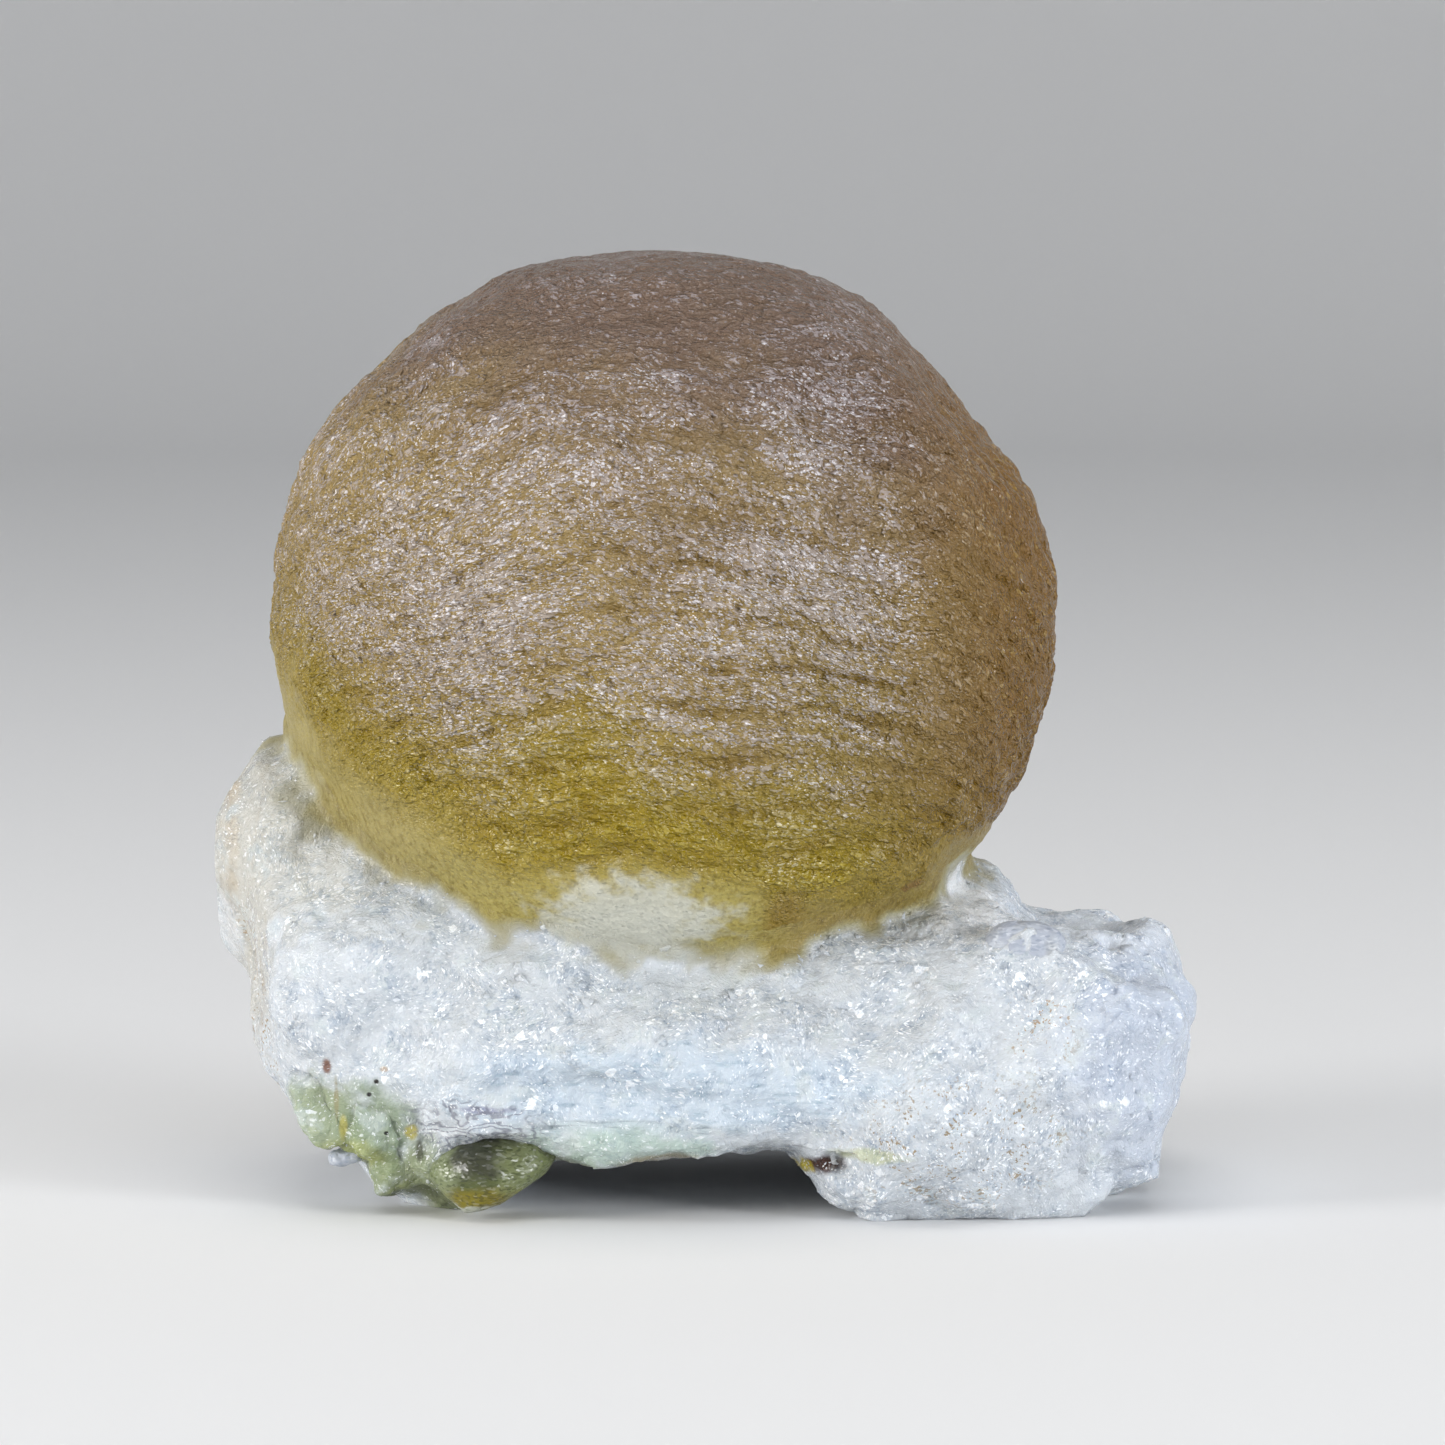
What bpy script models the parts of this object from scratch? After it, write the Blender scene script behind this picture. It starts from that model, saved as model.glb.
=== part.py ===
# Botryoidal fluorite on drusy quartz, a loose hand specimen.
# One globe of fluorite sits in a saddle of white sugary quartz.
# Metres, +Z up, +X to the viewer's right, -Y towards the viewer.
# The origin is under the middle of the specimen, on the surface that it stands on.

import math

import bpy
import bmesh
from mathutils import Vector, noise

MM = 0.001

# The globe of fluorite. Its crown is flatter than its belly.
BALL_CENTRE = Vector((-1.9, 0.0, 23.1))
BALL_RADIUS = 15.6
BALL_CROWN = 14.5
BALL_LEAN = 0.35
BALL_SUBDIVISIONS = 5

# Flat places on the globe: the way they face, their distance from its centre, their softness.
BALL_FLATS = [
    (Vector((0.75, -0.10, 0.66)), 13.95, 0.75),
    (Vector((-0.62, -0.10, 0.78)), 14.3, 0.6),
    (Vector((0.10, 0.95, 0.30)), 15.0, 0.7),
]

# Broad lobes that stand out of the globe: the way they face, height and half width in radians.
BALL_LOBES = [
    (Vector((0.80, 0.00, -0.60)), 0.25, 0.40),
    (Vector((-0.60, -0.79, 0.13)), 0.20, 0.45),
    (Vector((0.51, -0.85, 0.13)), 0.20, 0.45),
    (Vector((-0.30, 0.90, -0.25)), 0.25, 0.50),
]

# Growth ripples: low ridges that run round the globe and bend about its two broad lobes.
RIPPLE_SPACING = 3.4
RIPPLE_HEIGHT = 0.12
RIPPLE_TILT = 0.12
RIPPLE_WARP = 2.6
SWELL_HEIGHT = 0.22
SWELL_SIZE = 6.0
SWELL_START = Vector((7.0, 0.0, 0.0))

# The gap that stands for the grown contact between the two minerals.
SEAT_GAP = 0.3
SEAT_SUBDIVISIONS = 4

# The quartz is a few fractured masses fused together. Corners in millimetres.
QUARTZ_MASSES = {
    "wing": [
        (-18.4, 1.5, 18.3), (-18.9, -2.0, 17.4), (-16.9, -1.0, 18.6), (-16.5, 3.0, 18.0),
        (-18.9, -3.0, 14.6), (-18.7, 3.0, 13.6), (-19.1, -1.0, 12.0), (-19.5, -0.5, 10.8),
        (-19.4, 0.0, 9.4), (-17.8, 6.5, 13.5), (-18.0, 7.5, 10.0), (-18.0, -6.5, 10.5),
        (-15.8, -3.6, 16.6), (-13.4, -5.6, 14.0), (-10.4, -7.2, 11.9), (-13.2, 6.5, 13.6),
        (-15.4, -9.2, 9.8), (-9.5, -9.6, 9.8), (-9.5, 9.5, 9.6),
    ],
    "shank": [
        (-18.6, -3.0, 8.9), (-18.2, 4.0, 8.2), (-17.9, -4.2, 6.2), (-17.3, 4.0, 5.0),
        (-16.4, -4.0, 3.2), (-15.4, 3.0, 2.3), (-13.8, -5.0, 1.1), (-13.2, 5.0, 1.0),
        (-11.2, -7.4, -0.4), (-9.8, -7.4, -0.4), (-12.2, 7.6, -0.4), (-8.8, 7.8, -0.4),
        (-15.6, -8.8, 6.2), (-11.4, -10.8, 5.6), (-8.6, -9.8, 2.4), (-7.0, -8.0, 1.8),
        (-16.4, -7.6, 9.6), (-9.6, -9.8, 10.2), (-9.6, 10.2, 9.8), (-16.8, 8.2, 8.4),
        (-14.6, 9.6, 4.4), (-7.6, 11.0, 4.8), (-6.8, 8.0, 1.8),
    ],
    "bridge": [
        (-11.0, -7.6, 11.2), (-4.0, -8.8, 10.4), (2.6, -8.9, 10.1), (7.4, -8.0, 11.0),
        (-11.0, -11.4, 7.0), (-3.0, -12.3, 6.8), (5.2, -12.3, 6.4), (-9.0, -10.6, 3.2),
        (-0.2, -11.2, 2.3), (3.8, -11.0, 2.8), (-11.0, 8.4, 11.0), (6.0, 8.8, 11.2),
        (-11.0, 12.0, 6.4), (5.0, 12.6, 6.0), (-9.0, 10.4, 2.2), (4.4, 10.6, 2.0),
    ],
    "block": [
        (12.4, -8.4, 9.6), (18.6, -7.2, 9.9), (18.7, 4.4, 10.6), (12.8, 7.0, 9.5),
        (19.1, -7.0, 8.0), (19.3, -5.5, 6.4), (19.2, 4.6, 6.4), (18.5, 7.4, 4.4),
        (18.8, -7.8, 3.9), (5.2, -12.2, 6.4), (12.0, -12.0, 5.6), (17.3, -10.6, 5.6),
        (4.4, -10.9, 0.9), (9.0, -9.9, -0.4), (13.4, -9.6, -0.4), (17.8, -7.2, 0.7),
        (17.4, 5.0, 0.9), (13.2, 8.6, -0.4), (8.0, 8.8, -0.4), (4.4, 9.8, 1.2),
        (5.0, 12.4, 6.0), (13.4, 11.2, 6.0), (5.0, -9.0, 9.6), (5.0, 9.0, 9.8),
    ],
    "neck": [
        (10.1, -1.4, 13.1), (10.0, 3.0, 12.6), (7.2, -7.2, 11.4), (9.4, -5.6, 11.9),
        (11.9, -4.4, 10.8), (12.0, 4.2, 9.9), (7.2, 7.2, 11.2), (5.4, -9.2, 9.4),
        (13.2, -8.4, 9.4), (13.4, 8.0, 9.2), (5.4, 9.2, 9.0),
    ],
}

# Stained ledges at the lower left: middle, tilt from upright, length and radius of each prism.
LEDGES = [
    ((-15.8, -6.9, 5.8), (-0.20, -0.18), 5.2, 0.85),
    ((-14.7, -7.9, 4.2), (-0.16, -0.22), 5.0, 1.05),
    ((-13.0, -8.6, 3.2), (-0.10, -0.24), 4.6, 1.05),
    ((-11.7, -8.6, 2.2), (0.10, -0.20), 3.2, 0.80),
    ((-16.0, 7.0, 4.6), (-0.22, 0.20), 3.8, 0.95),
]
LEDGE_SIDES = 6
LEDGE_TIP = 0.45

# Rounded lumps: middle and half sizes. A glassy lens, a clear knob, swellings of the crust.
LUMPS = [
    ((-8.9, -8.9, 2.3), (2.2, 1.7, 1.0)),
    ((12.6, -7.8, 10.3), (1.5, 1.3, 1.3)),
    ((15.6, -9.2, 7.6), (2.6, 1.8, 2.4)),
    ((8.8, -10.8, 4.0), (3.6, 1.6, 2.6)),
    ((-14.2, -8.4, 9.0), (2.8, 1.8, 2.6)),
    ((2.0, 11.6, 5.0), (4.6, 1.8, 3.0)),
    ((-12.6, 9.8, 6.4), (3.0, 2.0, 2.8)),
    ((14.8, 9.0, 6.4), (3.2, 2.2, 2.6)),
]

# Hollows pressed into the crust: middle, half sizes and depth.
HOLLOWS = [
    ((-5.6, -12.0, 4.9), (6.6, 3.0, 1.3), 0.9),
    ((5.2, -11.4, 1.9), (1.0, 2.4, 0.9), 0.5),
    ((-18.3, -4.6, 11.4), (0.8, 3.0, 5.2), 0.5),
    ((16.4, 0.0, 10.6), (0.7, 5.0, 1.0), 0.3),
    ((-4.0, 11.8, 7.6), (4.0, 3.0, 1.8), 0.9),
    ((7.6, 11.6, 4.4), (2.2, 3.0, 1.8), 0.8),
]

# Relief of the crust: lumps of one size on lumps of another, then small facets.
CRUST_GRID = 1.19
CREASE_PASSES = 2
CREASE_FACTOR = 0.5
CRUST_RELIEF = [(5.2, 0.70), (2.6, 0.60)]
FACET_SIZE = 2.6
FACET_HEIGHT = 0.50

GROUND_SIZE = 80.0

# Finishes: linear colour and roughness. Edges sharper than the angle stay crisp.
FLUORITE_FINISH = ((0.34, 0.28, 0.19), 0.40)
QUARTZ_FINISH = ((0.66, 0.70, 0.74), 0.45)
CRISP_ANGLE = math.radians(35.0)


def clear_scene():
    for thing in list(bpy.data.objects):
        bpy.data.objects.remove(thing, do_unlink=True)


def add_object(name, mesh):
    thing = bpy.data.objects.new(name, mesh)
    bpy.context.scene.collection.objects.link(thing)
    return thing


def mesh_from(name, bm):
    bmesh.ops.recalc_face_normals(bm, faces=bm.faces)
    mesh = bpy.data.meshes.new(name)
    bm.to_mesh(mesh)
    bm.free()
    return mesh


def to_metres(thing):
    for vertex in thing.data.vertices:
        vertex.co *= MM


def make_material(name, finish):
    colour, roughness = finish
    material = bpy.data.materials.new(name)
    material.use_nodes = True
    shader = material.node_tree.nodes["Principled BSDF"]
    shader.inputs["Base Color"].default_value = (*colour, 1.0)
    shader.inputs["Roughness"].default_value = roughness
    shader.inputs["Metallic"].default_value = 0.0
    material.diffuse_color = (*colour, 1.0)
    return material


def shade_round(mesh):
    mesh.shade_smooth()
    mesh.set_sharp_from_angle(angle=CRISP_ANGLE)


def ripple(point):
    """Height of the growth ripples at a point measured from the globe's centre: a zigzag in
    the point's level, which leans and wanders."""
    warp = noise.noise(point / SWELL_SIZE) * RIPPLE_WARP
    level = point.z + RIPPLE_TILT * point.x + warp
    phase = (level / RIPPLE_SPACING) % 1.0
    return (abs(2.0 * phase - 1.0) - 0.5) * RIPPLE_HEIGHT * 2.0


def ball_point(direction, grow):
    """Point of the globe's skin in a direction from its centre, moved out by grow."""
    rise = BALL_CROWN if direction.z > 0.0 else BALL_RADIUS
    point = Vector((direction.x * BALL_RADIUS, direction.y * BALL_RADIUS, direction.z * rise))
    crown = max(0.0, direction.z)
    point.x -= BALL_LEAN * crown * crown
    for facing, reach, softness in BALL_FLATS:
        way = facing.normalized()
        excess = point.dot(way) - reach
        if excess > 0.0:
            point -= way * excess * softness
    swell = noise.noise(point / SWELL_SIZE + SWELL_START) * SWELL_HEIGHT
    for facing, height, width in BALL_LOBES:
        swell += height * math.exp(-(direction.angle(facing) / width) ** 2)
    return point + direction * (swell + ripple(point) + grow)


def make_ball(name, subdivisions, grow):
    bm = bmesh.new()
    bmesh.ops.create_icosphere(bm, subdivisions=subdivisions, radius=1.0)
    for vertex in bm.verts:
        vertex.co = BALL_CENTRE + ball_point(vertex.co.normalized(), grow)
    ball = add_object(name, mesh_from(name, bm))
    to_metres(ball)
    return ball


def add_mass(bm, corners):
    """One fractured mass: the convex hull of its corners."""
    points = [bm.verts.new(corner) for corner in corners]
    hull = bmesh.ops.convex_hull(bm, input=points)
    inner = [item for item in hull["geom_interior"] if isinstance(item, bmesh.types.BMVert)]
    bmesh.ops.delete(bm, geom=list(set(inner)), context="VERTS")


def add_ledge(bm, middle, tilt, length, radius):
    """A six-sided prism with a blunt tip that points down and leans with the crust."""
    made = bmesh.ops.create_cone(
        bm, cap_ends=True, segments=LEDGE_SIDES, radius1=radius * LEDGE_TIP, radius2=radius,
        depth=length)
    for vertex in made["verts"]:
        vertex.co.x -= vertex.co.z * tilt[0]
        vertex.co.y -= vertex.co.z * tilt[1]
        vertex.co += Vector(middle)


def add_lump(bm, middle, half_sizes):
    made = bmesh.ops.create_icosphere(bm, subdivisions=3, radius=1.0)
    for vertex in made["verts"]:
        vertex.co = Vector([value * half for value, half in zip(vertex.co, half_sizes)])
        vertex.co += Vector(middle)


def fuse(thing):
    """Fuse overlapping masses into one even skin."""
    remesh = thing.modifiers.new("fuse", "REMESH")
    remesh.mode = "VOXEL"
    remesh.voxel_size = CRUST_GRID
    bpy.context.view_layer.update()
    graph = bpy.context.evaluated_depsgraph_get()
    fused = bpy.data.meshes.new_from_object(thing.evaluated_get(graph))
    thing.modifiers.remove(remesh)
    soften(fused)
    thing.data = fused


def soften(mesh):
    """Round the tight creases where two masses meet."""
    bm = bmesh.new()
    bm.from_mesh(mesh)
    for _ in range(CREASE_PASSES):
        bmesh.ops.smooth_vert(
            bm, verts=bm.verts, factor=CREASE_FACTOR,
            use_axis_x=True, use_axis_y=True, use_axis_z=True)
    bm.to_mesh(mesh)
    bm.free()


def hollow_depth(point):
    depth = 0.0
    for middle, half_sizes, deepest in HOLLOWS:
        away = sum(((point[i] - middle[i]) / half_sizes[i]) ** 2 for i in range(3))
        if away < 1.0:
            depth += deepest * (1.0 - away) ** 1.5
    return depth


def relief(point):
    height = 0.0
    for size, amount in CRUST_RELIEF:
        height += noise.noise(point / size) * amount
    nearest = noise.voronoi(point / FACET_SIZE)[0]
    height += (0.5 - min(1.0, nearest[0])) * FACET_HEIGHT
    return height


def roughen(mesh):
    """Raise the crust's lumps and facets and press its hollows."""
    moves = []
    for vertex in mesh.vertices:
        moves.append(vertex.normal * (relief(vertex.co) - hollow_depth(vertex.co)))
    for vertex, move in zip(mesh.vertices, moves):
        vertex.co += move


def make_cutter(thing):
    thing.hide_render = True
    thing.display_type = "WIRE"


def cut(thing, cutter):
    make_cutter(cutter)
    modifier = thing.modifiers.new(cutter.name, "BOOLEAN")
    modifier.operation = "DIFFERENCE"
    modifier.object = cutter


def make_ground_cutter():
    bm = bmesh.new()
    bmesh.ops.create_cube(bm, size=GROUND_SIZE)
    for vertex in bm.verts:
        vertex.co.z -= GROUND_SIZE / 2.0
    ground = add_object("ground_cutter", mesh_from("ground_cutter", bm))
    to_metres(ground)
    return ground


def make_matrix():
    bm = bmesh.new()
    for corners in QUARTZ_MASSES.values():
        add_mass(bm, corners)
    for middle, tilt, length, radius in LEDGES:
        add_ledge(bm, middle, tilt, length, radius)
    for middle, half_sizes in LUMPS:
        add_lump(bm, middle, half_sizes)
    matrix = add_object("quartz_matrix", mesh_from("quartz_matrix", bm))
    fuse(matrix)
    roughen(matrix.data)
    to_metres(matrix)
    cut(matrix, make_ball("seat_cutter", SEAT_SUBDIVISIONS, SEAT_GAP))
    cut(matrix, make_ground_cutter())
    matrix.data.materials.clear()
    matrix.data.materials.append(make_material("quartz", QUARTZ_FINISH))
    shade_round(matrix.data)


def make_fluorite():
    ball = make_ball("fluorite_ball", BALL_SUBDIVISIONS, 0.0)
    ball.data.materials.append(make_material("fluorite", FLUORITE_FINISH))
    shade_round(ball.data)


clear_scene()
make_fluorite()
make_matrix()
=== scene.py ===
import math

import bpy
import numpy as np
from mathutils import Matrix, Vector, noise
from mathutils.bvhtree import BVHTree


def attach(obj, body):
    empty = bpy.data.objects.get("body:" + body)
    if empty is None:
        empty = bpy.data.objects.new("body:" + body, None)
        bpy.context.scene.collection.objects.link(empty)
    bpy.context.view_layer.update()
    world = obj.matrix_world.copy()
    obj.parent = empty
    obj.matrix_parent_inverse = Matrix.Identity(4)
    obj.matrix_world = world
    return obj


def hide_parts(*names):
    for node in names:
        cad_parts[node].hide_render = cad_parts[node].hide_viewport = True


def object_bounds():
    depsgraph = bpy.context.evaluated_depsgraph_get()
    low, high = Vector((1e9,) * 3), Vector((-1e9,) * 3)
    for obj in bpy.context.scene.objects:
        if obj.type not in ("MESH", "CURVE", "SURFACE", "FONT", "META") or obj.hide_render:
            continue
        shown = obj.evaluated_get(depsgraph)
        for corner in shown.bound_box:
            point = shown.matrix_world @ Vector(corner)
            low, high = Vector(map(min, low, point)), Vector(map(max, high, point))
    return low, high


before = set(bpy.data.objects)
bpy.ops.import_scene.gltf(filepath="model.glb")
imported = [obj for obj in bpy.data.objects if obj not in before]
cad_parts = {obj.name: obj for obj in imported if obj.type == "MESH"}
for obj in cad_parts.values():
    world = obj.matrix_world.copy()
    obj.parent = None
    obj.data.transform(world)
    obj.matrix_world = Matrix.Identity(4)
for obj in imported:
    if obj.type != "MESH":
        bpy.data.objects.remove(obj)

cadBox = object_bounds()
mm = 0.001
mergeReach = 0.00001


# Small helpers: sizes and places are in millimetres until a mesh is written

def pick(thing):
    bpy.ops.object.select_all(action="DESELECT")
    thing.select_set(True)
    bpy.context.view_layer.objects.active = thing


def applyModifier(thing, kind, **settings):
    pick(thing)
    modifier = thing.modifiers.new(kind.lower(), kind)
    for key, value in settings.items():
        setattr(modifier, key, value)
    bpy.ops.object.modifier_apply(modifier=modifier.name)


def addPiece(name, mesh):
    piece = bpy.data.objects.new(name, mesh)
    bpy.context.scene.collection.objects.link(piece)
    return piece


def editAll(thing):
    pick(thing)
    bpy.ops.object.mode_set(mode="EDIT")
    bpy.ops.mesh.select_all(action="SELECT")


def endEdit():
    bpy.ops.object.mode_set(mode="OBJECT")


def growTogether(pieces, voxel, settle):
    # the pieces become one closed skin, under the name of the first
    pick(pieces[0])
    for piece in pieces[1:]:
        piece.select_set(True)
    bpy.ops.object.join()
    applyModifier(pieces[0], "REMESH", mode="VOXEL", voxel_size=voxel * mm)
    applyModifier(pieces[0], "SMOOTH", factor=0.5, iterations=settle)
    return pieces[0]


def copyOfNode(nodeName, pieceName):
    piece = addPiece(pieceName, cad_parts[nodeName].data.copy())
    piece.data.name = pieceName
    piece.data.materials.clear()
    editAll(piece)
    bpy.ops.mesh.remove_doubles(threshold=mergeReach)
    endEdit()
    return piece


def readPoints(mesh, what="co"):
    values = np.empty(len(mesh.vertices) * 3)
    mesh.vertices.foreach_get(what, values)
    return values.reshape(-1, 3)


def writePoints(mesh, points):
    mesh.vertices.foreach_set("co", np.asarray(points, np.float32).ravel())
    mesh.update()


def writeField(mesh, name, values):
    field = mesh.attributes.new(name, "FLOAT", "POINT")
    field.data.foreach_set("value", np.asarray(values, np.float32))


def smoothStep(low, high, values):
    t = np.clip((values - low) / (high - low), 0.0, 1.0)
    return t * t * (3.0 - 2.0 * t)


def unit(vectors):
    vectors = np.asarray(vectors, float)
    return vectors / np.linalg.norm(vectors, axis=-1, keepdims=True)


def bell(points, middle, reach):
    # 1 at the middle, fading out over the reach
    return np.exp(-(((points - middle) / reach) ** 2).sum(1))


def noiseField(points, size, start=(0.0, 0.0, 0.0)):
    spots = points / np.asarray(size) + np.asarray(start)
    return np.array([noise.noise(spot) for spot in map(Vector, spots.tolist())])


scramble = np.array([[12.9, 78.2, 37.7], [39.3, 11.1, 83.1], [73.2, 52.2, 9.1]])  # makes a place a random way


def crystalField(points, size, start=(0.0, 0.0, 0.0)):
    # low flat-sided humps: each cell of a random pattern is a block turned its own way
    spots = points / size + np.asarray(start)
    middles = np.array([tuple(noise.voronoi(spot)[1][0]) for spot in map(Vector, spots.tolist())])
    keys = np.sin(middles @ scramble) * 43758.5
    upright = unit(keys - np.floor(keys) - 0.5)
    across = unit(np.cross(upright, (0.3, 0.5, 0.8)))
    faces = (upright, across, np.cross(upright, across))
    return 0.32 - np.max([np.abs(((spots - middles) * face).sum(1)) for face in faces], axis=0)


def signedDistance(tree, points, reach):
    distance = np.full(len(points), reach)
    outward = np.zeros((len(points), 3))
    for i, spot in enumerate(points.tolist()):
        spot = Vector(spot) * mm
        near, normal, _, gap = tree.find_nearest(spot, reach * mm)
        if near is not None:
            distance[i] = math.copysign(gap / mm, (spot - near).dot(normal))
            outward[i] = normal
    return distance, outward


def treeOf(thing):
    bpy.context.view_layer.update()
    return BVHTree.FromObject(thing, bpy.context.evaluated_depsgraph_get())


def finishPiece(piece, slotName, material, *nodes):
    low, high = np.array(cadBox)
    writePoints(piece.data, np.clip(readPoints(piece.data), low, high))
    piece.data.materials.clear()
    piece.data.materials.append(material)
    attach(piece, "root")
    if nodes:
        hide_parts(*nodes)


# Helpers for the finishes

def startMaterial(name):
    material = bpy.data.materials.new(name)
    material.use_nodes = True
    tree = material.node_tree
    tree.nodes.clear()
    output = tree.nodes.new("ShaderNodeOutputMaterial")
    shader = tree.nodes.new("ShaderNodeBsdfPrincipled")
    tree.links.new(shader.outputs[0], output.inputs["Surface"])
    return material, tree, shader


def setInputs(node, inputs):
    for key, value in inputs.items():
        if isinstance(value, bpy.types.NodeSocket):
            node.id_data.links.new(value, node.inputs[key])
        else:
            node.inputs[key].default_value = value
    return node


def startNode(tree, kind, **settings):
    node = tree.nodes.new(kind)
    for key, value in settings.items():
        setattr(node, key, value)
    return node


def addNode(kind, inputs, **settings):
    # the node joins the tree that its inputs come from
    tree = next(value.id_data for value in inputs.values() if isinstance(value, bpy.types.NodeSocket))
    return setInputs(startNode(tree, kind, **settings), inputs)


def mathNode(operation, first, second=0.0, clamp=False):
    return addNode("ShaderNodeMath", {0: first, 1: second},
                   operation=operation, use_clamp=clamp).outputs[0]


def plus(first, second):
    return mathNode("ADD", first, second)


def times(first, second):
    return mathNode("MULTIPLY", first, second)


def vectorNode(operation, first, second=(0.0, 0.0, 0.0)):
    inputs = {0: first, "Scale": second} if operation == "SCALE" else {0: first, 1: second}
    if operation == "NORMALIZE":
        inputs = {0: first}
    node = addNode("ShaderNodeVectorMath", inputs, operation=operation)
    return node.outputs["Value" if operation == "LENGTH" else "Vector"]


def paint(red, green, blue):
    channels = [value / 255.0 for value in (red, green, blue)]
    return [c / 12.92 if c <= 0.04045 else ((c + 0.055) / 1.055) ** 2.4 for c in channels] + [1.0]


def mixTones(factor, first, second, blend="MIX"):
    # a tone is another node's, or red, green and blue from 0 to 255
    first, second = [paint(*tone) if isinstance(tone, tuple) else tone for tone in (first, second)]
    return addNode("ShaderNodeMix", {0: factor, 6: first, 7: second},
                   data_type="RGBA", blend_type=blend).outputs[2]


def rampNode(factor, low, high, most=1.0):
    return addNode("ShaderNodeMapRange", {0: factor, 1: low, 2: high, 4: most},
                   interpolation_type="SMOOTHSTEP").outputs[0]


def spreadNode(share, least, most):
    return addNode("ShaderNodeMapRange", {0: share, 3: least, 4: most}).outputs[0]


def noiseNode(spot, count, detail, rough=0.5):
    return addNode("ShaderNodeTexNoise", {"Vector": spot, "Scale": count, "Detail": detail,
                                                "Roughness": rough}).outputs["Fac"]


def cellNode(spot, count):
    return addNode("ShaderNodeTexVoronoi", {"Vector": spot, "Scale": count}).outputs["Color"]


def channelOf(colour, index=0):
    return addNode("ShaderNodeSeparateColor", {0: colour}).outputs[index]


def axisOf(place, axis):
    return addNode("ShaderNodeSeparateXYZ", {0: place}).outputs[axis]


def fieldNode(tree, name):
    return startNode(tree, "ShaderNodeAttribute", attribute_name=name).outputs["Fac"]


def placeInMm(tree):
    place = startNode(tree, "ShaderNodeTexCoord").outputs["Object"]
    return vectorNode("SCALE", place, 1.0 / mm)


def leanedNormal(lean, amount, most=False, normal=None):
    # each grain's face turns its own way, so that it catches the light by itself; most turn only a little
    turn = vectorNode("SUBTRACT", lean, (0.5, 0.5, 0.5))
    if most:
        turn = vectorNode("MULTIPLY", turn, vectorNode("ABSOLUTE", turn))
    turn = vectorNode("SCALE", turn, amount)
    if normal is None:
        normal = startNode(lean.id_data, "ShaderNodeNewGeometry").outputs["Normal"]
    return vectorNode("NORMALIZE", vectorNode("ADD", normal, turn))


def foldNode(spot, counts):
    # 0 in thin creases and 1 on the flats between them, mixed of two sizes
    folds = 0.0
    for count in counts:
        away = mathNode("ABSOLUTE", plus(noiseNode(spot, count, 2.0), -0.5))
        folds = plus(rampNode(away, 0.0, 0.13, 0.5), folds)
    return folds


def creasedNormal(folds, depth):
    return addNode("ShaderNodeBump", {"Height": folds, "Distance": depth}).outputs[0]


def nearTo(place, wander, middle, reach, strength=1.0):
    # the strength round the middle, and nothing past the reach
    scale = [1.0 / side for side in reach]
    shift = [-at / side for at, side in zip(middle, reach)]
    offset = addNode("ShaderNodeVectorMath", {0: place, 1: scale, 2: shift},
                     operation="MULTIPLY_ADD").outputs["Vector"]
    return rampNode(plus(vectorNode("LENGTH", offset), wander), 1.25, 0.55, strength)


def addTonePatch(place, wander, colour, tonePatch):
    # one patch of another tone round a place; the lists hold stains and, where marked, painted light and
    # shade
    middle, reach, tone, strength = tonePatch
    return mixTones(nearTo(place, wander, middle, reach, strength), colour, tone)


def rimTone(place):
    # the waxy foot of the globe, with fine upright fibres, and painted shade at its left
    across = axisOf(place, "X")
    tone = mixTones(rampNode(across, 0.5, 4.5), seam["khaki"], seam["waxy"])
    # painted shade on the left of the rim
    tone = mixTones(rampNode(across, -7.5, -13.0), tone, seam["leftRimShade"])
    drawn = vectorNode("MULTIPLY", place, (4.5, 4.5, 1.1))
    fibres = noiseNode(drawn, 1.0, 5.0, 0.65)
    return mixTones(rampNode(fibres, 0.44, 0.66), tone, seam["fibre"], "MULTIPLY")


def addVeil(place, colour):
    # a milky veil over both minerals, with a broken edge
    wander = times(plus(noiseNode(place, 1.3, 5.0), -0.5), 1.6)
    return addTonePatch(place, wander, colour, seam["veil"])


# The seam, where the quartz feathers out over the foot of the globe

seam = {
    "film": 0.28,  # thickness that the quartz has where it starts up the globe
    "sink": 0.34,  # how deep it runs out under the globe's skin
    "feather": 2.4,  # way up the globe over which it thins out
    "top": 20.5,  # higher than any quartz on the globe
    "farDown": -6.0,  # how far up the globe a point counts, at the least and at the most
    "farUp": 8.0,
    "rounding": 1.1,
    "roundingPasses": 18,
    "wander": [(2.8, 1.5), (1.0, 0.7), (0.45, 0.3)],
    "climbs": [  # place, reach, way: the quartz climbs (minus) or the fluorite dips (plus)
        ((-2.7, -11.2, 11.8), (3.4, 3.0, 2.3), -3.4),
        ((2.9, -9.4, 11.2), (1.1, 2.0, 1.8), 2.1),
        ((7.9, -6.2, 12.4), (0.7, 1.0, 0.8), 1.4),
        ((10.6, -3.4, 12.6), (1.5, 2.2, 1.8), -2.1),
    ],
    "milk": (170, 168, 151),
    "pale": (158, 151, 112),
    "khaki": (163, 150, 80),
    "waxy": (142, 124, 62),  # the rim's tone at the right
    # painted shade: the rim's tone darker at the left, where the lamp falls strongest
    "leftRimShade": (150, 138, 84),
    "fibre": (212, 206, 176),  # multiplies the rim's tone in fine upright fibres
    "veil": ((-3.0, -11.0, 12.0), (3.7, 5.0, 1.95), (190, 190, 177), 0.92),
}


def seamField(points, fromGlobe, fromQuartz):
    # how far up the globe a point lies, counted from where the two minerals part
    way = fromQuartz - fromGlobe
    for size, reach in seam["wander"]:
        way += reach * noiseField(points, size, (1.0, size, 6.0))
    for place, reach, amount in seam["climbs"]:
        way += amount * bell(points, place, reach)
    return np.clip(way, seam["farDown"], seam["farUp"])


# The fluorite globe

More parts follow.
